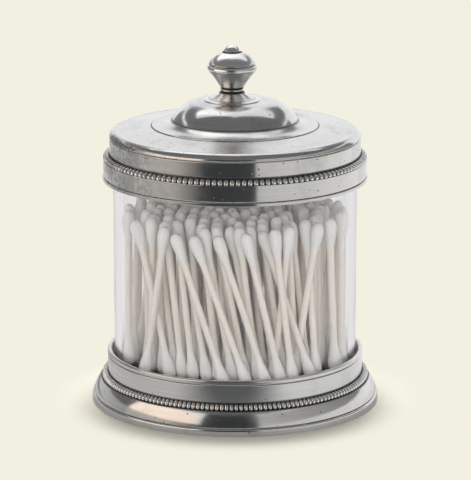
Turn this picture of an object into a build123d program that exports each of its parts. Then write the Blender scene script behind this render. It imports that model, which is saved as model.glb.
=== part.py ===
from build123d import *
import math
import os

import numpy as np

# Glass canister: a straight glass jar in a turned pewter base, under a turned pewter lid with a
# cast knob, and filled with cotton swabs. Millimetres, +Z up, origin under the middle of the base.

# Glass jar
glass_radius = 57.0
glass_wall = 3.2
glass_height = 112.0
glass_floor = 3.4
glass_rim_round = 0.8
glass_foot_round = 2.0
glass_corner_round = 2.0

# Pewter base
foot_height = 4.0
foot_spread = 4.5
foot_round = 1.1
foot_ring_width = 3.2
foot_groove_height = 0.5
foot_groove_depth = 0.9
ogee_height = 7.0
ogee_spread = 3.5
ogee_lip = 0.3
ogee_run_share = 0.28
ogee_rise_share = 0.42
base_plate = 2.5
base_plate_rise = 2.5
recess_shoulder = 2.4
collar_gap = 1.1
collar_wall = 2.1
collar_height = 8.2
collar_groove_width = 0.6
collar_groove_depth = 0.5
rim_height = 2.0
rim_round = 0.95

# Pewter lid
skirt_gap = 0.4
skirt_wall = 1.35
wall_height = 7.4
wall_groove_width = 0.6
wall_groove_depth = 0.6
edge_height = 3.0
edge_width = 4.2
edge_swell_share = 0.72
band_height = 7.6
band_wall = 1.7
lip_height = 1.4
lip_spread = 0.4
lip_groove_height = 0.5
lip_groove_depth = 0.5
plate_rise = 2.3
lid_plate = 2.2
seat_margin = 1.5
dome_line_radius = 38.8
dome_line_step = 0.35
dome_rise = 11.6
dome_shoulder_radius = 29.3
dome_shoulder_drop = 9.3
dome_top_radius = 14.9
crown_run_share = 0.27
crown_rise_share = 0.55
cavetto_run_share = 0.66
cavetto_rise_share = 0.22
dome_wall = 2.0
dome_slant_share = 0.7

# Beaded wires, one on the base and one on the lid
wire_gap = 0.1
base_bead_count = 175
base_bead_width = 2.8
base_bead_height = 2.6
lid_bead_count = 140
lid_bead_width = 2.85
lid_bead_height = 2.4
# Levels of a bead's outline as shares of its height, with its reach in the valley and on the crest
bead_level_shares = (0.0, 0.38, 1.0)
bead_reach_shares = ((0.68, 0.92), (0.62, 1.0), (0.1, 0.2))

# Pewter knob, soldered on a little to one side of the axis
knob_shift = 1.4
flange_radius = 13.2
flange_height = 0.7
flange_lip = 0.35
flange_top_width = 2.6
flare_height = 3.6
flare_hollow_share = 0.45
waist_radius = 5.1
ring_swell = 0.45
ring_height = 1.2
stem_height = 7.3
stem_hollow_share = 0.48
stem_top_radius = 10.3
knob_undercut_height = 0.8
knob_band_radius = 11.0
knob_band_swell = 0.5
knob_band_height = 2.9
knob_groove_height = 0.5
knob_groove_depth = 0.6
bulb_height = 5.4
bulb_top_radius = 4.7
bulb_run_share = 0.32
bulb_rise_share = 0.56
nub_height = 3.5
nub_radius = 4.1
peg_radius = 3.0
peg_gap = 0.15

# Cotton swabs
swab_length = 76.0
stick_radius = 1.5
bud_radius = 2.9
bud_length = 16.0
bud_end_share = 0.5
bud_belly_share = 0.27
swab_sides = 6
swab_gap = 0.3
swab_spacing = 0.6
swab_lean_share = 0.36

# Swabs seen through the front: turn of head and of foot, from the front and as shares of a full
# turn, then how far out the head and the foot stand, as shares of the standing radius
front_swab_shares = (
    (-0.172, -0.110, 1.00, 0.90),
    (-0.110, -0.155, 1.00, 1.00),
    (-0.090, -0.012, 1.00, 1.00),
    (-0.061, 0.020, 1.00, 1.00),
    (-0.026, 0.047, 1.00, 1.00),
    (-0.014, 0.062, 0.76, 0.80),
    (0.014, 0.070, 1.00, 1.00),
    (0.044, 0.118, 0.90, 1.00),
    (0.061, 0.092, 1.00, 1.00),
    (0.083, 0.066, 1.00, 0.82),
    (0.122, 0.140, 0.86, 0.95),
    (0.134, 0.106, 1.00, 0.82),
    (0.160, 0.182, 1.00, 1.00),
    (0.205, 0.208, 1.00, 1.00),
)
# Rings of swabs around and behind them: how many, then in shares the ring's standing radius, the
# turn where it starts, the part of a turn that it fills and the mean lean of its heads
swab_ring_counts = (29, 40, 33, 23, 12)
swab_ring_shares = (
    (1.00, 0.236, 0.560, -0.012),
    (0.80, 0.000, 1.000, 0.000),
    (0.60, 0.010, 1.000, 0.008),
    (0.40, 0.020, 1.000, -0.020),
    (0.18, 0.000, 1.000, 0.030),
)
front_lean_share = -0.05
lean_scatter_share = 0.06
out_scatter_share = 0.10
golden_share = 0.618034
settle_rounds = 160
settle_levels = 28
settle_gain_share = 0.35

# Heights and radii of the base, from the foot up
ogee_foot = foot_height + foot_groove_height
ledge_height = ogee_foot + ogee_height
floor_height = ledge_height + base_plate_rise
recess_height = floor_height - base_plate
rim_bottom = ledge_height + base_bead_height + collar_height
rim_groove_top = rim_bottom + collar_groove_width
rim_top = rim_groove_top + rim_height
collar_inner = glass_radius + collar_gap
collar_radius = collar_inner + collar_wall
ledge_radius = collar_radius + base_bead_width + ogee_lip
ogee_radius = ledge_radius + ogee_spread
foot_radius = collar_radius + base_bead_width + foot_spread

# Inside and rim of the glass
glass_inner = glass_radius - glass_wall
jar_floor = floor_height + glass_floor
glass_rim = floor_height + glass_height

# Heights and radii of the lid, from the rim of the glass that it rests on
wall_bottom = glass_rim - wall_height
band_top = wall_bottom - lid_bead_height
band_bottom = band_top - band_height
lip_top = band_bottom - lip_groove_height
lid_bottom = lip_top - lip_height
edge_bottom = glass_rim + wall_groove_width
edge_top = edge_bottom + edge_height
dome_foot = edge_top + plate_rise
dome_top = dome_foot + dome_rise
shoulder_height = dome_top - dome_shoulder_drop
skirt_inner = glass_radius + skirt_gap
lid_wall_radius = skirt_inner + skirt_wall
band_radius = lid_wall_radius + lid_bead_width
band_inner = band_radius - band_wall
lip_radius = band_radius + lip_spread
edge_radius = lid_wall_radius - edge_width
seat_inner = glass_inner - seat_margin

# Heights of the knob, from the flat on the dome up
flare_bottom = dome_top + flange_height
ring_bottom = flare_bottom + flare_height
ring_middle = ring_bottom + ring_height / 2
stem_bottom = ring_bottom + ring_height
stem_top = stem_bottom + stem_height
knob_band_bottom = stem_top + knob_undercut_height
knob_band_middle = knob_band_bottom + knob_band_height / 2
knob_band_top = knob_band_bottom + knob_band_height
bulb_bottom = knob_band_top + knob_groove_height
bulb_top = bulb_bottom + bulb_height
knob_top = bulb_top + nub_height
nub_round = (nub_radius**2 + nub_height**2) / (2 * nub_height)


def between(start, end, share):
    """Size or place that lies a share of the way from start to end."""
    return start + (end - start) * share


def turned_line(radius, low, high, depth):
    """Corners of a V-shaped turned line in an outline that runs upwards."""
    return [(radius, low), (radius - depth, between(low, high, 1 / 2)), (radius, high)]


def bent_line(start, end, run_share, rise_share):
    """Arc from start to end through a point given as shares of its run and of its rise."""
    middle = (between(start[0], end[0], run_share), between(start[1], end[1], rise_share))
    return ThreePointArc(start, middle, end)


# Base: foot, swelling ogee, step for the beaded wire, and a collar with a turned line and a round rim
with BuildPart() as base:
    with BuildSketch(Plane.XZ):
        with BuildLine():
            ogee_start = (ogee_radius, ogee_foot)
            ogee_end = (ledge_radius, ledge_height)
            rim_shoulder = rim_top - rim_round
            Polyline(
                (0, floor_height),
                (0, recess_height),
                (collar_radius - recess_shoulder, recess_height),
                (foot_radius - foot_ring_width, 0),
                (foot_radius - foot_round, 0),
            )
            RadiusArc((foot_radius - foot_round, 0), (foot_radius, foot_round), -foot_round)
            Line((foot_radius, foot_round), (foot_radius, foot_height - foot_round))
            RadiusArc(
                (foot_radius, foot_height - foot_round),
                (foot_radius - foot_round, foot_height),
                -foot_round,
            )
            Polyline(
                (foot_radius - foot_round, foot_height),
                (ogee_radius - foot_groove_depth, foot_height),
                ogee_start,
            )
            bent_line(ogee_start, ogee_end, ogee_run_share, ogee_rise_share)
            Polyline(
                ogee_end,
                (collar_radius, ledge_height),
                *turned_line(collar_radius, rim_bottom, rim_groove_top, collar_groove_depth),
                (collar_radius, rim_shoulder),
            )
            RadiusArc((collar_radius, rim_shoulder), (collar_radius - rim_round, rim_top), -rim_round)
            Line((collar_radius - rim_round, rim_top), (collar_inner + rim_round, rim_top))
            RadiusArc((collar_inner + rim_round, rim_top), (collar_inner, rim_shoulder), -rim_round)
            Polyline((collar_inner, rim_shoulder), (collar_inner, floor_height), (0, floor_height))
        make_face()
    revolve(axis=Axis.Z)
base.part.label = "base"

# Glass jar: straight wall on a thick floor, with its edges rounded by the flame
with BuildPart() as glass_jar:
    with BuildSketch(Plane.XY.offset(floor_height)):
        Circle(glass_radius)
    extrude(amount=glass_height)
    with BuildSketch(Plane.XY.offset(jar_floor)):
        Circle(glass_inner)
    extrude(amount=glass_height - glass_floor, mode=Mode.SUBTRACT)
    fillet(glass_jar.edges().group_by(Axis.Z)[-1], radius=glass_rim_round)
    fillet(glass_jar.edges().group_by(Axis.Z)[0], radius=glass_foot_round)
    floor_edge = glass_jar.edges().filter_by_position(Axis.Z, jar_floor, jar_floor)
    fillet(floor_edge, radius=glass_corner_round)
glass_jar.part.label = "glass_jar"

# Lid: skirt around the glass, step for the beaded wire, plate that rests on the rim, and dome
with BuildPart() as lid:
    with BuildSketch(Plane.XZ):
        with BuildLine():
            edge_start = (lid_wall_radius, edge_bottom)
            edge_end = (edge_radius, edge_top)
            cavetto = (dome_line_radius, dome_foot)
            shoulder = (dome_shoulder_radius, shoulder_height)
            crown = (dome_top_radius, dome_top)
            slant = dome_wall * dome_slant_share
            inner_crown = (dome_top_radius, dome_top - dome_wall)
            inner_shoulder = (dome_shoulder_radius - slant, shoulder_height - slant)
            inner_cavetto = (dome_line_radius, dome_foot - lid_plate)
            Polyline(
                (band_inner, lid_bottom),
                (lip_radius, lid_bottom),
                (lip_radius, lip_top),
                (band_radius - lip_groove_depth, between(lip_top, band_bottom, 1 / 2)),
                (band_radius, band_bottom),
                (band_radius, band_top),
                (lid_wall_radius, band_top),
                *turned_line(lid_wall_radius, glass_rim, edge_bottom, wall_groove_depth),
            )
            bent_line(edge_start, edge_end, 1 - edge_swell_share, edge_swell_share)
            Polyline(edge_end, (dome_line_radius, dome_foot - dome_line_step), cavetto)
            bent_line(cavetto, shoulder, cavetto_run_share, cavetto_rise_share)
            bent_line(shoulder, crown, crown_run_share, crown_rise_share)
            Polyline(crown, (0, dome_top), (0, dome_top - dome_wall), inner_crown)
            bent_line(inner_crown, inner_shoulder, 1 - crown_run_share, 1 - crown_rise_share)
            bent_line(inner_shoulder, inner_cavetto, 1 - cavetto_run_share, 1 - cavetto_rise_share)
            Polyline(
                inner_cavetto,
                (seat_inner, glass_rim),
                (skirt_inner, glass_rim),
                (skirt_inner, band_top - band_wall),
                (band_inner, band_top - band_wall - (band_inner - skirt_inner)),
                (band_inner, lid_bottom),
            )
        make_face()
    revolve(axis=Axis.Z)
    with BuildSketch(Plane.XY.offset(dome_top)):
        with Locations((-knob_shift, 0)):
            Circle(peg_radius + peg_gap)
    extrude(amount=-dome_wall, mode=Mode.SUBTRACT)
lid.part.label = "lid"

# Knob: flange, flared foot, ring, stem, band and bulb with a nub, on a peg through the dome
knob_plane = Plane(origin=(-knob_shift, 0, 0), x_dir=(1, 0, 0), z_dir=(0, -1, 0))
with BuildPart() as knob:
    with BuildSketch(knob_plane):
        with BuildLine():
            flare_start = (flange_radius - flange_top_width, flare_bottom)
            flare_end = (waist_radius, ring_bottom)
            stem_start = (waist_radius, stem_bottom)
            stem_end = (stem_top_radius, stem_top)
            knob_band_start = (knob_band_radius, knob_band_bottom)
            knob_band_crest = (knob_band_radius + knob_band_swell, knob_band_middle)
            knob_band_end = (knob_band_radius, knob_band_top)
            bulb_start = (knob_band_radius, bulb_bottom)
            bulb_end = (bulb_top_radius, bulb_top)
            nub_start = (nub_radius, bulb_top)
            nub_end = (0, knob_top)
            Polyline(
                (0, dome_top - dome_wall),
                (peg_radius, dome_top - dome_wall),
                (peg_radius, dome_top),
                (flange_radius, dome_top),
                (flange_radius, dome_top + flange_lip),
                flare_start,
            )
            bent_line(flare_start, flare_end, 1 - flare_hollow_share, flare_hollow_share)
            ThreePointArc(flare_end, (waist_radius + ring_swell, ring_middle), stem_start)
            bent_line(stem_start, stem_end, stem_hollow_share, 1 - stem_hollow_share)
            Line(stem_end, knob_band_start)
            ThreePointArc(knob_band_start, knob_band_crest, knob_band_end)
            Polyline(*turned_line(knob_band_radius, knob_band_top, bulb_bottom, knob_groove_depth))
            bent_line(bulb_start, bulb_end, bulb_run_share, bulb_rise_share)
            Line(bulb_end, nub_start)
            RadiusArc(nub_start, nub_end, -nub_round)
            Line(nub_end, (0, dome_top - dome_wall))
        make_face()
    revolve(axis=Axis((-knob_shift, 0, 0), (0, 0, 1)))
knob.part.label = "knob"


def beaded_wire(count, seat_radius, seat_height, width, height):
    """Wire rolled into a row of beads with flat facets, lying in the step around a wall."""
    rings = []
    for level_share, reach_shares in zip(bead_level_shares, bead_reach_shares):
        level = seat_height + height * level_share
        ring = []
        for half_bead in range(2 * count):
            turn = math.pi * half_bead / count
            radius = seat_radius + width * reach_shares[half_bead % 2]
            ring.append((radius * math.cos(turn), radius * math.sin(turn), level))
        rings.append(ring)
    facets = [rings[0], rings[-1]]
    for lower, upper in zip(rings, rings[1:]):
        for index in range(2 * count):
            facets.append((lower[index - 1], lower[index], upper[index]))
            facets.append((upper[index], upper[index - 1], lower[index - 1]))
    with BuildPart() as wire:
        add(Solid(Shell([Face(Wire.make_polygon(facet)) for facet in facets])))
        with BuildSketch(Plane.XY.offset(seat_height)):
            Circle(seat_radius + wire_gap)
        extrude(amount=height, mode=Mode.SUBTRACT)
    return wire


base_beading = beaded_wire(base_bead_count, collar_radius, ledge_height, base_bead_width, base_bead_height)
base_beading.part.label = "base_beading"
lid_beading = beaded_wire(lid_bead_count, lid_wall_radius, band_top, lid_bead_width, lid_bead_height)
lid_beading.part.label = "lid_beading"

# One swab, standing on its lower bud: a straight stick between two faceted buds
bud_belly = bud_length * bud_belly_share
swab_stations = (
    0,
    bud_belly,
    bud_length,
    swab_length - bud_length,
    swab_length - bud_belly,
    swab_length,
)
bud_end_radius = bud_radius * bud_end_share
swab_radii = (bud_end_radius, bud_radius, stick_radius, stick_radius, bud_radius, bud_end_radius)
with BuildPart() as swab:
    for index, length in enumerate(np.diff(swab_stations)):
        narrowing = (swab_radii[index] - swab_radii[index + 1]) * math.cos(math.pi / swab_sides)
        with BuildSketch(Plane.XY.offset(swab_stations[index])):
            RegularPolygon(swab_radii[index], side_count=swab_sides)
        extrude(amount=length, taper=math.degrees(math.atan(narrowing / length)))

# The jar full of swabs: heads and feet are set out in rings, then pushed apart until all stand clear
standing_radius = glass_inner - bud_radius - 2 * swab_gap
lean_limit = swab_length * swab_lean_share


def scatter(number):
    """Even spread of shares from -1/2 to 1/2, one for each whole number."""
    return number * golden_share % 1 - 1 / 2


def standing_place(turn_share, out_share):
    """Place on the floor of the jar, with the turn counted from the front."""
    turn = 2 * math.pi * turn_share
    reach = standing_radius * out_share
    return (reach * math.sin(turn), -reach * math.cos(turn))


def swab_places():
    """Heads and feet of all the swabs before they are pushed apart."""
    heads = [standing_place(row[0], row[2]) for row in front_swab_shares]
    feet = [standing_place(row[1], row[3]) for row in front_swab_shares]
    for count, (out_share, start_share, turn_share, lean_share) in zip(swab_ring_counts, swab_ring_shares):
        for index in range(count):
            number = len(feet)
            foot_share = start_share + turn_share * index / count
            facing_share = max(0, math.cos(2 * math.pi * foot_share))
            head_share = foot_share + lean_share + front_lean_share * facing_share
            head_share += lean_scatter_share * scatter(number)
            head_out_share = min(1, out_share + out_scatter_share * scatter(3 * number))
            feet.append(standing_place(foot_share, out_share))
            heads.append(standing_place(head_share, head_out_share))
    return np.array(heads), np.array(feet)


def kept_within(places, limit):
    """Places drawn in towards the middle where they lie farther out than the limit."""
    reach = np.linalg.norm(places, axis=1, keepdims=True)
    return places * np.minimum(1, limit / np.maximum(reach, limit))


def settle(heads, feet):
    """Push the swabs apart, level by level, until none meets another or the glass."""
    levels = np.linspace(0, swab_length, settle_levels)
    for _ in range(settle_rounds):
        heads = feet + kept_within(heads - feet, lean_limit)
        heads = kept_within(heads, standing_radius)
        feet = kept_within(feet, standing_radius)
        lean = heads - feet
        rise = np.sqrt(swab_length**2 - (lean**2).sum(axis=1))
        along = np.minimum(levels[None, :] / rise[:, None], 1)
        radii = np.interp(along * swab_length, swab_stations, swab_radii) * swab_length / rise[:, None]
        middles = feet[:, None, :] + lean[:, None, :] * along[:, :, None]
        apart = middles[:, None] - middles[None]
        distance = np.linalg.norm(apart, axis=3) + np.eye(len(feet))[:, :, None] * swab_length
        push = np.maximum(radii[:, None] + radii[None] + swab_spacing - distance, 0) / distance
        if not push.any():
            break
        moves = (push[..., None] * apart).sum(axis=1) * settle_gain_share
        heads = heads + (moves * along[:, :, None]).max(axis=1) + (moves * along[:, :, None]).min(axis=1)
        still = 1 - along[:, :, None]
        feet = feet + (moves * still).max(axis=1) + (moves * still).min(axis=1)
    return heads, feet, rise


heads, feet, rise = settle(*swab_places())
swab_locations = []
for head, foot, height in zip(heads, feet, rise):
    direction = (*(head - foot), height)
    foot_lift = bud_end_radius * math.sqrt(1 - (height / swab_length) ** 2) + swab_gap
    swab_locations.append(Location(Plane(origin=(*foot, jar_floor + foot_lift), z_dir=direction)))

with BuildPart() as cotton_swabs:
    with Locations(*swab_locations):
        add(swab.part)
cotton_swabs.part.label = "cotton_swabs"

os.makedirs("parts", exist_ok=True)
for piece in (base, base_beading, glass_jar, cotton_swabs, lid, lid_beading, knob):
    export_step(piece.part, f"parts/{piece.part.label}.step")
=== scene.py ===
import math

import bpy
import numpy as np
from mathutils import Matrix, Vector, noise


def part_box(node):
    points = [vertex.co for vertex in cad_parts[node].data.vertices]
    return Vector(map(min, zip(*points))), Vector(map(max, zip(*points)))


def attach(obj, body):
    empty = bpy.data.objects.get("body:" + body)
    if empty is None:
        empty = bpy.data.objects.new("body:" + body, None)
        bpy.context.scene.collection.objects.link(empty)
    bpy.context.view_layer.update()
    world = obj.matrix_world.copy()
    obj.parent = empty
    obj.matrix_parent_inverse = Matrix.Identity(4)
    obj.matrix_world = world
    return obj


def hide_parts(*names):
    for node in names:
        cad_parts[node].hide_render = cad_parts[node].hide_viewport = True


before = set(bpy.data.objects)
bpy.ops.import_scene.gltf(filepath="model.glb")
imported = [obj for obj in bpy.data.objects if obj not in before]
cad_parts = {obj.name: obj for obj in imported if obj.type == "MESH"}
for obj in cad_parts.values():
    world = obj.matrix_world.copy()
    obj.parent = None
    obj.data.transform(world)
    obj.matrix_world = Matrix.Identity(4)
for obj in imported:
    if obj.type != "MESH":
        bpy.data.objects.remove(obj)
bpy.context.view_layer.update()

# A glass canister in turned pewter, filled with cotton swabs. Metres, in the frame of the solids.

# Camera
camera_distance = 1.410
camera_elevation = 13.8
camera_lens = 225.0
camera_sensor = 36.0
camera_aim_height = 0.0763
camera_aside = 0.0002

# Reading the solids
place_digits = 6
turn_digits = 4
seam_reach = 1e-6
crest_reach = 5e-6

# Turned pewter and glass
turned_sides = 240
pewter_wear = 0.00022
glass_wear = 0.00010
corner_turn = math.radians(20)
corner_steps = 6
corner_cut_share = 0.45
outline_step = 0.0009
straight_share = 2.5

# Patina in the hollows, and patina with painted shade beside the beaded wires
patina_reaches = (0.0006, 0.0018)
patina_depths = (0.04, 0.32)
wire_dirt_and_shade_reaches = (0.0003, 0.0012)
wire_dirt_and_shade_steps = 3
wire_dirt_and_shade_share = 0.8
clear_wires = ("base_beading",)

# Metal that is left as it was cast
inner_lean = -0.5
cup_margin = 0.0006
polished_all_over = ("knob",)

# Beaded wires
bead_steps = 10
bead_section_steps = 12
bead_width_share = 0.47
bead_square_power = 2.6
bead_low_tilt = math.radians(-24)
bead_web_share = 0.30
bead_web_height_share = 0.6
bead_top_wiped = 0.45
bead_side_wiped = 0.8

# Cotton swabs
swab_sides = 14
stick_radius = 0.0015
stick_steps = 8
stick_bow = 0.0004
stick_bow_tilt = 0.3
bud_radius = 0.0029
bud_length = 0.0160
bud_steps = 12
bud_step_power = 1.5
bud_belly_share = 0.27
bud_tip_power = 2.4
bud_fray_share = 0.8
bud_lump = 0.00016
bud_lump_scale = 260.0

# Colours, as linear light
white = (1.0, 1.0, 1.0, 1.0)
backdrop_colour = (0.887, 0.871, 0.753, 1.0)
pewter_colour = (0.63, 0.625, 0.615, 1.0)
# The beads' and the knob's pewter is painted lighter than the rest, standing in for the brighter
# highlights they mirror.
bead_colour_with_painted_highlight = (0.86, 0.855, 0.84, 1.0)
knob_colour_with_painted_light = (0.80, 0.79, 0.775, 1.0)
cast_colour = (0.68, 0.67, 0.65, 1.0)
dull_colour = (0.30, 0.305, 0.31, 1.0)
patina_and_shade_colour = (0.035, 0.036, 0.038, 1.0)
cotton_colour = (0.90, 0.875, 0.84, 1.0)
cotton_shade_colour = (0.78, 0.755, 0.72, 1.0)
paper_colour = (0.91, 0.83, 0.755, 1.0)
paper_shade_colour = (0.82, 0.74, 0.65, 1.0)

# Gloss that each kind of pewter has lost
pewter_gloss_loss = 0.09
bead_gloss_loss = 0.20
knob_gloss_loss = 0.19

# Random variation of each surface: scale, then detail and roughness where they are set
cloud_middle = 0.5
mark_cloud = (1.0, 3.0, 0.6)
smudge_cloud = (55.0, 5.0, 0.62)
swell_cloud = (42.0, 1.0)
mottle_cloud = (430.0, 3.0, 0.65)
wave_cloud = (38.0, 1.0)
fluff_cloud = (1900.0, 4.0, 0.7)
patch_cloud = (160.0, 2.0)
grain_cloud = (1.0,)

# Turning marks in the pewter
mark_stretch = 22.0
mark_pitch = 1500.0
mark_limits = (0.30, 0.75)
mark_share = 0.16
mark_roughness = 0.09
mark_height = 0.14

# Casting pits and slow swells in the pewter
pit_scale = 330.0
pit_reaches = (0.08, 0.16)
pit_picks = (0.62, 0.66)
pit_share = 0.85
pit_roughness = 0.3
pit_depth = 1.6
swell_height = 2.2
pewter_relief = 0.00002

# Tarnish, and the stain on the left of the lid
tarnish_limits = (0.48, 0.74)
tarnish_share = 0.30
tarnish_roughness = 0.32
stain_place = (-0.052, -0.036, 0.118)
stain_reaches = (0.012, 0.042)
stain_limits = (0.80, 1.16)
stain_share = 0.70

# Dirt with painted shade beside and between the beads, tops that are often wiped, and bare cast
# metal
dirt_and_shade_limits = (0.08, 0.9)
dirt_and_shade_unevenness = 0.5
dirt_and_shade_share = 0.94
dirt_roughness = 0.30
wiped_rises = (0.80, 0.985)
wiped_roughness = 0.11
cast_roughness = 0.4

# Glass, cotton and paper
glass_relief = 0.00003
fluff_share = 0.25
patch_share = 0.5
grain_pitch = 900.0
grain_wander = 6.0
grain_height = 0.15
swab_relief = 0.00025
swab_relief_strength = 0.7

# Floor and backdrop, as the camera, the glass and the metal see them
floor_size = 8.0
floor_centre = (0, 0, 0)
floor_light = 0.935
shadow_reaches = (0.066, 0.090)
glass_backdrop_colour = (0.80, 0.785, 0.795, 1.0)
mirrored_backdrop_colour = (1.10, 1.11, 1.13, 1.0)
mirrored_left_colour = (0.66, 0.655, 0.64, 1.0)
mirrored_right_colour = (0.94, 0.94, 0.93, 1.0)
mirrored_side_reach = 0.14
mirrored_shadow_colour = (0.40, 0.40, 0.395, 1.0)
mirrored_dark_colour = (0.14, 0.145, 0.15, 1.0)
mirrored_dark_places = ((-0.006, -0.152, 0), (-0.125, 0.13, 0))
mirrored_dark_reaches = (0.035, 0.105)
fill_strength = 0.30

# Screens for the metal to mirror: turns and heights in degrees, and the colours of both ends
screen_radius = 0.36
screen_steps = 20
screens = {
    "dark_screen": (-26, 17, 0, 44, (0.050, 0.056, 0.060, 1), (0.055, 0.060, 0.064, 1)),
    "fading_screen": (-50, -26, 0, 15, (0.56, 0.54, 0.50, 1), (0.060, 0.064, 0.066, 1)),
    "warm_low_screen": (-90, -50, 0, 15, (0.66, 0.65, 0.62, 1), (0.60, 0.57, 0.53, 1)),
    "warm_screen": (-90, -30, 15, 42, (1.60, 1.34, 1.14, 1), (1.42, 1.18, 1.00, 1)),
    "left_low_screen": (-180, -90, 0, 15, (1.00, 1.00, 0.99, 1), (0.40, 0.40, 0.39, 1)),
    "left_screen": (-150, -90, 15, 42, (0.30, 0.30, 0.295, 1), (0.14, 0.14, 0.135, 1)),
    "grey_low_screen": (17, 125, 0, 15, (0.74, 0.735, 0.72, 1), (1.10, 1.09, 1.07, 1)),
    "grey_screen": (17, 125, 15, 42, (0.62, 0.61, 0.60, 1), (0.26, 0.26, 0.255, 1)),
    "canopy": (-105, 105, 44, 88, (0.20, 0.205, 0.21, 1), (0.20, 0.205, 0.21, 1)),
    "back_right_screen": (105, 158, 46, 60, (0.22, 0.225, 0.23, 1), (0.22, 0.225, 0.23, 1)),
    "back_left_screen": (202, 255, 46, 60, (0.22, 0.225, 0.23, 1), (0.22, 0.225, 0.23, 1)),
    "sheen_screen": (122, 238, 60, 82, (1.00, 1.00, 1.00, 1), (1.85, 1.85, 1.84, 1)),
}

# Soft lamps: place, aim, width, depth and power
lamps = {
    "top_lamp": ((0.0, 0.20, 0.95), (0, 0, 0.05), 0.20, 0.34, 6.6),
    "front_lamp": ((-0.15, -1.2, 0.30), (0, 0, 0.07), 0.9, 0.4, 5.4),
}


# Reading the solids

def outline_of(node):
    """Give the outline of a turned node along its seam, as (radius, height) points, and its axis."""
    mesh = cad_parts[node].data
    low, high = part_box(node)
    axis = (low + high) / 2
    on_seam = {}
    for vertex in mesh.vertices:
        radius = vertex.co.x - axis.x
        if abs(vertex.co.y - axis.y) < seam_reach and radius > seam_reach:
            on_seam[vertex.index] = (round(radius, place_digits), round(vertex.co.z, place_digits))
    beside = {point: set() for point in on_seam.values()}
    for edge in mesh.edges:
        first, second = (on_seam.get(index) for index in edge.vertices)
        if first and second and first != second:
            beside[first].add(second)
            beside[second].add(first)
    return in_order(beside, joined_ends(beside)), axis


def joined_ends(beside):
    """Join loose ends of an outline that lie level with each other, and give those left over."""
    loose = [point for point in beside if len(beside[point]) < 2]
    loose.sort(key=lambda point: point[1])
    ends = []
    while loose:
        point = loose.pop(0)
        level = [other for other in loose if abs(other[1] - point[1]) < seam_reach]
        if level:
            loose.remove(level[0])
            beside[point].add(level[0])
            beside[level[0]].add(point)
        else:
            ends.append(point)
    return ends


def in_order(beside, ends):
    """Walk from point to point along an outline. Open ends run level to the axis."""
    point = ends[0] if ends else next(iter(beside))
    walk = [point]
    seen = {point}
    while True:
        onward = [other for other in beside[walk[-1]] if other not in seen]
        if not onward:
            break
        walk.append(onward[0])
        seen.add(onward[0])
    if not ends:
        return walk + walk[:1]
    start = [(0.0, walk[0][1])] if walk[0][0] > seam_reach else []
    finish = [(0.0, walk[-1][1])] if walk[-1][0] > seam_reach else []
    return start + walk + finish


def wire_radii(wire):
    """Give the vertices of a beaded wire and their radii."""
    places = np.array([vertex.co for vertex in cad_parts[wire].data.vertices])
    return places, np.hypot(places[:, 0], places[:, 1])


def swab_axes():
    """Give the lower and upper end of each swab."""
    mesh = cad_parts["cotton_swabs"].data
    places = np.array([vertex.co for vertex in mesh.vertices])
    spots = [tuple(spot) for spot in np.round(places, place_digits)]
    home = {spot: spot for spot in spots}

    def root(spot):
        while home[spot] != spot:
            home[spot] = home[home[spot]]
            spot = home[spot]
        return spot

    for edge in mesh.edges:
        home[root(spots[edge.vertices[0]])] = root(spots[edge.vertices[1]])
    swabs = {}
    for spot in home:
        swabs.setdefault(root(spot), []).append(spot)
    axes = []
    for points in swabs.values():
        cloud = np.array(points)
        middle = cloud.mean(0)
        along = np.linalg.svd(cloud - middle)[2][0]
        along = along * np.sign(along[2])
        reach = (cloud - middle) @ along
        axes.append((middle + along * reach.min(), middle + along * reach.max()))
    return sorted(axes, key=lambda ends: tuple(ends[0]))


# Meshes

def new_piece(name, node, body, material, vertices, faces, shares, normals=None):
    """Make a piece in the place of a node. Shares are named values for each vertex."""
    mesh = bpy.data.meshes.new(name)
    mesh.from_pydata(vertices, [], faces, shade_flat=False)
    for share, values in shares.items():
        keep_share(mesh, share, values)
    if normals is not None:
        mesh.normals_split_custom_set_from_vertices(normals)
    mesh.materials.append(material)
    piece = bpy.data.objects.new(name, mesh)
    bpy.context.scene.collection.objects.link(piece)
    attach(piece, body)
    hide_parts(node)
    return piece


def keep_share(mesh, name, values):
    """Keep a value for each vertex of a mesh."""
    layer = mesh.attributes.new(name, "FLOAT", "POINT")
    layer.data.foreach_set("value", np.asarray(values, np.float32))


def ring_faces(rings, side):
    """Join rings of vertices, each to the next, with the faces' fronts on the given side."""
    faces = []
    for lower, upper in zip(rings, rings[1:]):
        count = len(lower)
        for index in range(count):
            after = (index + 1) % count
            corners = [lower[index], lower[after], upper[after], upper[index]]
            corners = list(dict.fromkeys(corners))
            if len(corners) > 2:
                faces.append(corners if side > 0 else corners[::-1])
    return faces


def unit(vector):
    return vector / np.linalg.norm(vector)


def is_closed(line):
    return np.allclose(line[0], line[-1])


def eased(value, low, high):
    """Ease a value from 0 at one limit to 1 at the other."""
    share = np.clip((value - low) / (high - low), 0, 1)
    return share * share * (3 - 2 * share)


# Turned pieces

def worn_outline(points, wear):
    """Round an outline's corners as wear does and step along its straights: places, headings."""
    points = [np.array(point) for point in points]
    closed = is_closed(points)
    if closed:
        points = [points[-2]] + points
    places = []
    headings = []
    for before, point, after in zip(points, points[1:], points[2:]):
        reach_in = np.linalg.norm(point - before)
        reach_out = np.linalg.norm(after - point)
        coming = (point - before) / reach_in
        going = (after - point) / reach_out
        turn = math.acos(np.clip(coming @ going, -1, 1))
        if turn < corner_turn:
            places.append(point)
            headings.append(joint_heading(coming, going, reach_in, reach_out))
            continue
        cut = min(wear, reach_in * corner_cut_share, reach_out * corner_cut_share)
        for step in range(corner_steps + 1):
            share = step / corner_steps
            places.append(point - coming * cut * (1 - share) ** 2 + going * cut * share ** 2)
            headings.append(unit(coming * (1 - share) + going * share))
    if closed:
        places.append(places[0])
        headings.append(headings[0])
    else:
        places = [points[0]] + places + [points[-1]]
        headings = [unit(points[1] - points[0])] + headings + [unit(points[-1] - points[-2])]
    return stepped(places, headings)


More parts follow.
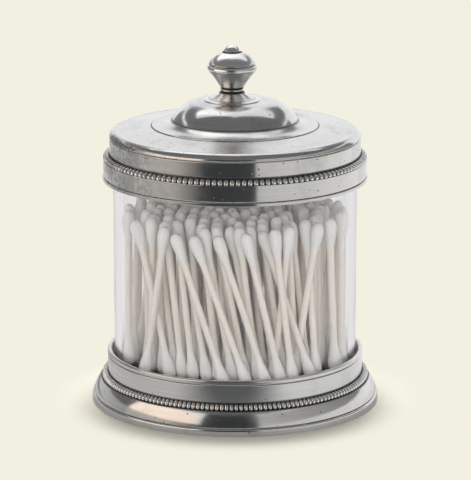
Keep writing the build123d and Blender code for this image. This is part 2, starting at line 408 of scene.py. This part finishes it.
def joint_heading(coming, going, reach_in, reach_out):
    """Heading where two stretches meet: a straight one keeps its own beside a curve."""
    if reach_in > reach_out * straight_share:
        return coming
    if reach_out > reach_in * straight_share:
        return going
    return unit(coming + going)


def stepped(places, headings):
    """Add points along the stretches of an outline that are longer than one step."""
    line = [places[0]]
    bearing = [headings[0]]
    for place, heading in zip(places[1:], headings[1:]):
        start = line[-1]
        start_heading = bearing[-1]
        steps = max(1, math.ceil(np.linalg.norm(place - start) / outline_step))
        for step in range(1, steps + 1):
            share = step / steps
            line.append(start + (place - start) * share)
            bearing.append(unit(start_heading + (heading - start_heading) * share))
    return np.array(line), np.array(bearing)


def hollowness(line, outward, runs):
    """How deep each point of an outline lies between its neighbours, where dirt stays: 0 to 1."""
    lap = runs[-1] if is_closed(line) else None

    def farther(step):
        """The outline's points, each a step farther along it."""
        return np.stack([np.interp(runs + step, runs, part, period=lap) for part in line.T], 1)

    depth = np.zeros(len(line))
    for reach in patina_reaches:
        middle = (farther(-reach) + farther(reach)) / 2
        depth = np.maximum(depth, ((middle - line) * outward).sum(1) / reach)
    return eased(depth, *patina_depths)


def beside_wire(line, wire):
    """How much dirt and painted shade lies on an outline above a beaded wire, and below it where it
    stands clear.
    """
    low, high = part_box(wire)
    seat = wire_radii(wire)[1].min()
    near = np.full(len(line), np.inf)
    edges = (low.z, high.z) if wire in clear_wires else (high.z,)
    for height in edges:
        for radius in np.linspace(seat, high.x, wire_dirt_and_shade_steps):
            near = np.minimum(near, np.hypot(line[:, 0] - radius, line[:, 1] - height))
    return wire_dirt_and_shade_share * (1 - eased(near, *wire_dirt_and_shade_reaches))


def turned_rings(line, outward, axis):
    """Turn an outline: vertices, their normals, and a ring of vertices for each of its points."""
    turns = np.arange(turned_sides) * (2 * math.pi / turned_sides)
    cosines, sines = np.cos(turns), np.sin(turns)
    vertices = []
    normals = []
    rings = []
    for (radius, height), (lean, rise) in zip(line, outward):
        first = len(vertices)
        if radius < seam_reach:
            vertices.append((axis.x, axis.y, height))
            normals.append((0, 0, math.copysign(1, rise)))
            rings.append([first] * turned_sides)
        else:
            level = [height] * turned_sides
            vertices.extend(zip(axis.x + radius * cosines, axis.y + radius * sines, level))
            normals.extend(zip(lean * cosines, lean * sines, [rise] * turned_sides))
            rings.append(list(range(first, first + turned_sides)))
    return vertices, normals, rings


def turned_piece(node, body, material, wear, wire=None, cup_radius=0.0):
    """Turn a node's outline again, finely and with worn corners, in the place of the node.

    What faces inward or down, or lies within the radius of a cup, was never polished.
    """
    points, axis = outline_of(node)
    line, heading = worn_outline(points, wear)
    runs = np.concatenate(([0], np.cumsum(np.linalg.norm(np.diff(line, axis=0), axis=1))))
    area = np.sum(line[:-1, 0] * np.diff(line[:, 1]) - line[:-1, 1] * np.diff(line[:, 0]))
    side = 1 if area > 0 else -1
    outward = np.stack((heading[:, 1], -heading[:, 0]), 1) * side
    hidden = (outward.min(1) < inner_lean) & (node not in polished_all_over)
    cast = hidden | (line[:, 0] < cup_radius)
    patina_and_shade = hollowness(line, outward, runs)
    # Beside a beaded wire, painted shade joins the patina of the hollows.
    if wire:
        patina_and_shade = np.maximum(patina_and_shade, beside_wire(line, wire))
    marks = {"patina_and_shade": patina_and_shade * (1 - cast), "run": runs, "cast": cast, "rise": outward[:, 1]}
    closed = is_closed(line)
    vertices, normals, rings = turned_rings(line[:-1] if closed else line, outward, axis)
    counts = [len(set(ring)) for ring in rings]
    shares = {mark: np.repeat(values[:len(rings)], counts) for mark, values in marks.items()}
    faces = ring_faces(rings + rings[:1] if closed else rings, side)
    return new_piece(f"turned_{node}", node, body, material, vertices, faces, shares, normals)


# Beaded wires

def beaded_piece(node, body, material):
    """Make a beaded wire: round beads side by side on a thin web, in the place of the node."""
    low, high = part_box(node)
    places, radii = wire_radii(node)
    outer = radii.max()
    seat = radii.min()
    crests = places[radii > outer - crest_reach]
    crest_turns = np.arctan2(crests[:, 1], crests[:, 0])
    count = len({round(turn, turn_digits) for turn in crest_turns})
    pitch = 2 * math.pi / count
    tilts = np.linspace(bead_low_tilt, math.pi / 2, bead_section_steps + 1)
    rises = (np.sin(tilts) - math.sin(bead_low_tilt)) / (1 - math.sin(bead_low_tilt))
    vertices = []
    rings = []
    patina_and_shade = []
    for bead in range(count):
        for share in np.linspace(-0.5, 0.5, bead_steps, endpoint=False):
            turn = crest_turns[0] + (bead + share) * pitch
            swell = math.sqrt(max(0.0, 1 - abs(share / bead_width_share) ** bead_square_power))
            width = (outer - seat) * (bead_web_share + (1 - bead_web_share) * swell)
            tall = (high.z - low.z) * (bead_web_height_share + (1 - bead_web_height_share) * swell)
            first = len(vertices)
            # Patina and painted shade fill the gaps between the beads and their roots; the beads'
            # outer faces are wiped cleaner than their tops.
            vertices.append((seat * math.cos(turn), seat * math.sin(turn), low.z))
            patina_and_shade.append(1.0)
            for tilt, rise in zip(tilts, rises):
                radius = seat + width * math.cos(tilt)
                height = low.z + tall * rise
                vertices.append((radius * math.cos(turn), radius * math.sin(turn), height))
                wiped = min(1.0, bead_top_wiped + bead_side_wiped * math.cos(tilt))
                patina_and_shade.append(1 - swell * wiped)
            rings.append(list(range(first, len(vertices))))
    faces = ring_faces(rings + rings[:1], -1)
    plain = [0.0] * len(vertices)
    shares = {"patina_and_shade": patina_and_shade, "run": plain, "cast": plain, "rise": plain}
    new_piece(f"beads_{node}", node, body, material, vertices, faces, shares)


# Cotton swabs

def bud_share(along):
    """Thickness of a bud, as a share of its belly, at a share of its length from the tip."""
    if along < bud_belly_share:
        return math.sqrt(1 - (1 - along / bud_belly_share) ** bud_tip_power)
    return 1 + (stick_radius / bud_radius - 1) * eased(along, bud_belly_share, 1)


def swab_line(length):
    """Stations along a swab: distance from its lower tip, radius and share of cotton."""
    bud = []
    for step in range(bud_steps + 1):
        along = (step / bud_steps) ** bud_step_power
        cotton = 1 - max(0.0, along - bud_fray_share) / (1 - bud_fray_share)
        bud.append((along * bud_length, bud_radius * bud_share(along), cotton))
    stick = []
    for step in range(1, stick_steps):
        reach = bud_length + (length - 2 * bud_length) * step / stick_steps
        stick.append((reach, stick_radius, 0.0))
    top = [(length - reach, radius, cotton) for reach, radius, cotton in reversed(bud)]
    return bud + stick + top


def swab_piece(node, body, material):
    """Make the heap of swabs: rolled paper sticks with a cotton bud at each end."""
    turns = np.arange(swab_sides) * (2 * math.pi / swab_sides)
    vertices = []
    faces = []
    shares = {"cotton": [], "run": []}
    for number, (foot, head) in enumerate(swab_axes()):
        length = np.linalg.norm(head - foot)
        along = (head - foot) / length
        aside = unit(np.cross(along, (math.cos(number), math.sin(number), stick_bow_tilt)))
        across = np.cross(along, aside)
        rings = []
        for reach, radius, cotton in swab_line(length):
            bow = aside * stick_bow * math.sin(math.pi * reach / length)
            first = len(vertices)
            if radius < seam_reach:
                vertices.append(tuple(foot + along * reach))
                rings.append([first] * swab_sides)
            else:
                for turn in turns:
                    spoke = aside * math.cos(turn) + across * math.sin(turn)
                    place = foot + along * reach + bow + spoke * radius
                    lump = noise.noise(Vector(place * bud_lump_scale)) * bud_lump * cotton
                    vertices.append(tuple(place + spoke * lump))
                rings.append(list(range(first, len(vertices))))
            count = len(vertices) - first
            shares["cotton"] += [cotton] * count
            shares["run"] += [reach] * count
        faces += ring_faces(rings, 1)
    new_piece("swab_heap", node, body, material, vertices, faces, shares)


# Materials

class Link:
    """A value in a node tree. Sums, differences and products of values add Math nodes."""

    def __init__(self, finish, socket):
        self.finish = finish
        self.socket = socket

    def __add__(self, other):
        return self.finish.math("ADD", self, other)

    __radd__ = __add__

    def __sub__(self, other):
        return self.finish.math("SUBTRACT", self, other)

    def __rsub__(self, other):
        return self.finish.math("SUBTRACT", other, self)

    def __mul__(self, other):
        return self.finish.math("MULTIPLY", self, other)

    __rmul__ = __mul__


class Finish:
    """The node tree of a material or of the world."""

    # Places of the colour sockets on a Mix node, whose names repeat
    mix_share = 0
    mix_first = 6
    mix_second = 7
    mix_result = 2

    def __init__(self, owner):
        self.owner = owner
        owner.use_nodes = True
        self.tree = owner.node_tree
        self.tree.nodes.clear()

    def node(self, kind, settings=None, sockets=None, output=0):
        """Add a node with its settings, then its sockets' values or links, and give one output."""
        made = self.tree.nodes.new(kind)
        for name, setting in (settings or {}).items():
            setattr(made, name, setting)
        for name, value in (sockets or {}).items():
            if isinstance(value, Link):
                self.tree.links.new(value.socket, made.inputs[name])
            else:
                made.inputs[name].default_value = value
        return Link(self, made.outputs[output]) if len(made.outputs) else None

    def outputs(self, kind, names, sockets=None):
        """Add a node and give several of its outputs."""
        made = self.node(kind, None, sockets).socket.node
        return [Link(self, made.outputs[name]) for name in names]

    def math(self, operation, first, second):
        return self.node("ShaderNodeMath", {"operation": operation}, {0: first, 1: second})

    def mix(self, share, first, second):
        """Blend two colours."""
        sockets = {self.mix_share: share, self.mix_first: first, self.mix_second: second}
        return self.node("ShaderNodeMix", {"data_type": "RGBA"}, sockets, self.mix_result)

    def between(self, value, low, high):
        """Ease a value from 0 at one limit to 1 at the other."""
        limits = {"Value": value, "From Min": low, "From Max": high}
        return self.node("ShaderNodeMapRange", {"interpolation_type": "SMOOTHSTEP"}, limits)

    def place(self):
        """Places in the frame of the solids."""
        return self.node("ShaderNodeTexCoord", output="Object")

    def distance(self, place, point):
        """How far a place is from a point."""
        ends = {0: place, 1: point}
        return self.node("ShaderNodeVectorMath", {"operation": "DISTANCE"}, ends, "Value")

    def share(self, name):
        """Read a value that a mesh keeps for each vertex."""
        return self.node("ShaderNodeAttribute", {"attribute_name": name}, output="Fac")

    def cloud(self, place, scale, detail=2.0, roughness=0.5):
        """Smooth random variation from 0 to 1."""
        sockets = {"Vector": place, "Scale": scale, "Detail": detail, "Roughness": roughness}
        return self.node("ShaderNodeTexNoise", None, sockets)

    def relief(self, height, distance, strength=1.0):
        """Small heights that only the shading shows."""
        sockets = {"Strength": strength, "Distance": distance, "Height": height}
        return self.node("ShaderNodeBump", None, sockets)

    def principled(self, sockets):
        """End in one Principled shader, and give the material."""
        return self.ended(self.node("ShaderNodeBsdfPrincipled", None, sockets))

    def ended(self, surface, output="ShaderNodeOutputMaterial"):
        """Join a shader to the output, and give the material or the world."""
        self.node(output, None, {"Surface": surface})
        return self.owner


def pewter_finish(name, clean_colour, gloss_loss):
    """Pewter: turning marks, casting pits, tarnish, dark patina in hollows with painted shade beside
    and between the beads, and bare cast metal.
    """
    finish = Finish(bpy.data.materials.new(name))
    place = finish.place()
    patina_and_shade = finish.share("patina_and_shade")
    cast = finish.share("cast")
    x, y = finish.outputs("ShaderNodeSeparateXYZ", "XY", {0: place})
    ringed = {"X": x * mark_stretch, "Y": y * mark_stretch, "Z": finish.share("run") * mark_pitch}
    marks = finish.cloud(finish.node("ShaderNodeCombineXYZ", None, ringed), *mark_cloud)
    smudge = finish.cloud(place, *smudge_cloud)
    swell = finish.cloud(place, *swell_cloud)
    mottle = finish.cloud(place, *mottle_cloud)
    cells = {"Vector": place, "Scale": pit_scale}
    pit_reach = finish.node("ShaderNodeTexVoronoi", None, cells, "Distance")
    pit_pick = finish.node("ShaderNodeTexVoronoi", None, cells, "Color")
    pit = (1 - finish.between(pit_reach, *pit_reaches)) * finish.between(pit_pick, *pit_picks)
    wiped = finish.between(finish.share("rise"), *wiped_rises)
    stain = 1 - finish.between(finish.distance(place, stain_place), *stain_reaches)
    stain = stain * finish.between(smudge + mottle, *stain_limits) * (1 - wiped)
    tarnish = finish.between(smudge, *tarnish_limits) * tarnish_share + stain * stain_share
    uneven = (smudge - cloud_middle) * dirt_and_shade_unevenness
    dirt_and_shade = finish.between(patina_and_shade + uneven * patina_and_shade, *dirt_and_shade_limits)
    colour = finish.mix(tarnish, clean_colour, dull_colour)
    colour = finish.mix(finish.between(marks, *mark_limits) * mark_share, colour, dull_colour)
    colour = finish.mix(cast, colour, cast_colour)
    # Dark patina in the hollows, with painted shade beside and between the beads.
    colour = finish.mix(dirt_and_shade * dirt_and_shade_share, colour, patina_and_shade_colour)
    colour = finish.mix(pit * pit_share, colour, patina_and_shade_colour)
    roughness = gloss_loss + tarnish * tarnish_roughness + marks * mark_roughness
    roughness = roughness + dirt_and_shade * dirt_roughness + pit * pit_roughness
    roughness = roughness + cast * cast_roughness + wiped * wiped_roughness
    height = marks * mark_height + swell * swell_height - pit * pit_depth
    return finish.principled({
        "Base Color": colour,
        "Metallic": 1 - cast,
        "Roughness": roughness,
        "Normal": finish.relief(height, pewter_relief),
    })


def glass_finish():
    """Clear blown glass, slightly wavy."""
    finish = Finish(bpy.data.materials.new("clear_glass"))
    wave = finish.cloud(finish.place(), *wave_cloud)
    return finish.principled({
        "Base Color": white,
        "Roughness": 0.0,
        "IOR": 1.5,
        "Transmission Weight": 1.0,
        "Normal": finish.relief(wave, glass_relief),
    })


def swab_finish():
    """White cotton over a rolled paper stick."""
    finish = Finish(bpy.data.materials.new("cotton_and_paper"))
    place = finish.place()
    cotton = finish.share("cotton")
    fluff = finish.cloud(place, *fluff_cloud)
    patch = finish.cloud(place, *patch_cloud)
    cotton_shade = finish.mix(fluff * fluff_share, cotton_colour, cotton_shade_colour)
    paper_shade = finish.mix(patch * patch_share, paper_colour, paper_shade_colour)
    rolled = {"X": finish.share("run") * grain_pitch, "Y": patch * grain_wander}
    grain = finish.cloud(finish.node("ShaderNodeCombineXYZ", None, rolled), *grain_cloud)
    height = fluff * cotton + grain * (1 - cotton) * grain_height
    return finish.principled({
        "Base Color": finish.mix(cotton, paper_shade, cotton_shade),
        "Roughness": 0.85,
        "Specular IOR Level": 0.25,
        "Sheen Weight": 0.15,
        "Subsurface Weight": 0.4,
        "Subsurface Radius": (1.0, 0.80, 0.65),
        "Subsurface Scale": 0.006,
        "Normal": finish.relief(height, swab_relief, swab_relief_strength),
    })


# Studio

def stage_mesh(name, vertices, faces, material):
    """Make a thing of the studio, which is not part of the canister."""
    mesh = bpy.data.meshes.new(name)
    mesh.from_pydata(vertices, [], faces)
    mesh.materials.append(material)
    thing = bpy.data.objects.new(name, mesh)
    bpy.context.scene.collection.objects.link(thing)
    return thing


def ray_kinds(finish, *kinds):
    """Give 1 for rays of each kind, and 0 for the others."""
    return finish.outputs("ShaderNodeLightPath", [f"Is {kind} Ray" for kind in kinds])


def mirrored_rays(finish):
    """1 for rays that the metal mirrors, and not the clear glass."""
    glossy, singular = ray_kinds(finish, "Glossy", "Singular")
    return glossy * (1 - singular)


def seen_rays(finish):
    """1 for rays that show the backdrop: from the camera, off metal and through glass."""
    camera, glossy, transmission = ray_kinds(finish, "Camera", "Glossy", "Transmission")
    return finish.math("MINIMUM", camera + glossy + transmission, 1.0)


def seen_colour(finish, mirrored_colour):
    """The backdrop's colour as the camera, the glass and the metal see it."""
    camera, = ray_kinds(finish, "Camera")
    colour = finish.mix(camera, glass_backdrop_colour, backdrop_colour)
    return finish.mix(mirrored_rays(finish), colour, mirrored_colour)


def pale_floor():
    """A pale floor that keeps the soft shadow of the object around it and is plain farther out.

    The metal mirrors it with painted light: darker on the left and lighter on the right, with a
    painted shadow around the object and two painted dark patches.
    """
    finish = Finish(bpy.data.materials.new("pale_floor"))
    lit_colour = [part / floor_light for part in backdrop_colour[:3]] + [1.0]
    matt = finish.node("ShaderNodeBsdfDiffuse", None, {"Color": lit_colour})
    place = finish.place()
    near = 1 - finish.between(finish.distance(place, floor_centre), *shadow_reaches)
    aside, = finish.outputs("ShaderNodeSeparateXYZ", "X", {0: place})
    aside = finish.between(aside, -mirrored_side_reach, mirrored_side_reach)
    mirrored_colour = finish.mix(aside, mirrored_left_colour, mirrored_right_colour)
    # A painted shadow around the object and painted dark patches, seen only in the metal's
    # reflection of the floor.
    mirrored_colour = finish.mix(near, mirrored_colour, mirrored_shadow_colour)
    for dark_place in mirrored_dark_places:
        dark = 1 - finish.between(finish.distance(place, dark_place), *mirrored_dark_reaches)
        mirrored_colour = finish.mix(dark, mirrored_colour, mirrored_dark_colour)
    plain = finish.node("ShaderNodeEmission", None, {"Color": seen_colour(finish, mirrored_colour)})
    camera, = ray_kinds(finish, "Camera")
    share = seen_rays(finish) * (1 - near * camera)
    surface = finish.node("ShaderNodeMixShader", None, {0: share, 1: matt, 2: plain})
    half = floor_size / 2
    corners = [(-half, -half, 0), (half, -half, 0), (half, half, 0), (-half, half, 0)]
    stage_mesh("pale_floor", corners, [(0, 1, 2, 3)], finish.ended(surface))


def screen(name, left, right, low, high, left_colour, right_colour):
    """A curved screen for the metal to mirror, between turns from the front and heights in degrees.

    It is graded from its left end to its right, and clear glass doesn't show it.
    """
    finish = Finish(bpy.data.materials.new(name))
    colour = finish.mix(finish.share("across"), left_colour, right_colour)
    glow = finish.node("ShaderNodeEmission", None, {"Color": colour})
    clear = finish.node("ShaderNodeBsdfTransparent")
    singular, = ray_kinds(finish, "Singular")
    surface = finish.node("ShaderNodeMixShader", None, {0: singular, 1: glow, 2: clear})
    row = screen_steps + 1
    vertices = []
    for turn in np.radians(np.linspace(left, right, row)):
        for rise in np.radians(np.linspace(low, high, row)):
            out = screen_radius * math.cos(rise)
            height = screen_radius * math.sin(rise)
            vertices.append((out * math.sin(turn), -out * math.cos(turn), height))
    faces = []
    for column in range(screen_steps):
        for step in range(screen_steps):
            corner = column * row + step
            faces.append((corner, corner + row, corner + row + 1, corner + 1))
    sheet = stage_mesh(name, vertices, faces, finish.ended(surface))
    keep_share(sheet.data, "across", np.repeat(np.linspace(0, 1, row), row))
    sheet.visible_camera = False
    sheet.visible_shadow = False
    sheet.visible_transmission = False
    sheet.visible_diffuse = False


def aim_at(thing, place, aim):
    """Put a lamp or camera in its place, facing a point."""
    thing.location = place
    thing.rotation_euler = (Vector(aim) - Vector(place)).to_track_quat("-Z", "Y").to_euler()
    bpy.context.scene.collection.objects.link(thing)


def soft_lamp(name, place, aim, width, depth, power):
    """A soft white lamp that faces a point, and that neither metal nor glass shows."""
    lamp = bpy.data.lights.new(name, "AREA")
    lamp.shape = "RECTANGLE"
    lamp.size = width
    lamp.size_y = depth
    lamp.energy = power
    holder = bpy.data.objects.new(name, lamp)
    holder.visible_glossy = False
    holder.visible_transmission = False
    aim_at(holder, place, aim)


def studio_world():
    """The backdrop's colour where it is seen, and an even fill of light."""
    world = bpy.data.worlds.new("studio")
    bpy.context.scene.world = world
    finish = Finish(world)
    fill = finish.node("ShaderNodeBackground", None, {"Color": white, "Strength": fill_strength})
    colour = seen_colour(finish, mirrored_backdrop_colour)
    plain = finish.node("ShaderNodeBackground", None, {"Color": colour})
    light = finish.node("ShaderNodeMixShader", None, {0: seen_rays(finish), 1: fill, 2: plain})
    finish.ended(light, "ShaderNodeOutputWorld")


def photograph_camera():
    """The camera, at the photograph's viewing angle."""
    lens = bpy.data.cameras.new("camera")
    lens.lens = camera_lens
    lens.sensor_width = camera_sensor
    eye = bpy.data.objects.new("camera", lens)
    rise = math.radians(camera_elevation)
    aim = Vector((camera_aside, 0, camera_aim_height))
    aim_at(eye, aim + camera_distance * Vector((0, -math.cos(rise), math.sin(rise))), aim)
    bpy.context.scene.camera = eye


# The part
pewter = pewter_finish("polished_pewter", pewter_colour, pewter_gloss_loss)
# Lighter copies of the pewter, with painted highlights, for the beads and the knob.
bead_pewter = pewter_finish("beaded_pewter", bead_colour_with_painted_highlight, bead_gloss_loss)
knob_pewter = pewter_finish("cast_pewter_with_painted_light", knob_colour_with_painted_light, knob_gloss_loss)
cup_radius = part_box("glass_jar")[1].x + cup_margin
turned_piece("base", "jar", pewter, pewter_wear, "base_beading", cup_radius)
turned_piece("lid", "lid", pewter, pewter_wear, "lid_beading")
turned_piece("knob", "lid", knob_pewter, pewter_wear)
beaded_piece("base_beading", "jar", bead_pewter)
beaded_piece("lid_beading", "lid", bead_pewter)
glass_jar = turned_piece("glass_jar", "jar", glass_finish(), glass_wear)
glass_jar.visible_shadow = False
swab_piece("cotton_swabs", "jar", swab_finish())

# The studio
pale_floor()
for name, layout in screens.items():
    screen(name, *layout)
for name, layout in lamps.items():
    soft_lamp(name, *layout)
studio_world()
photograph_camera()
bpy.context.scene.view_settings.view_transform = "Standard"
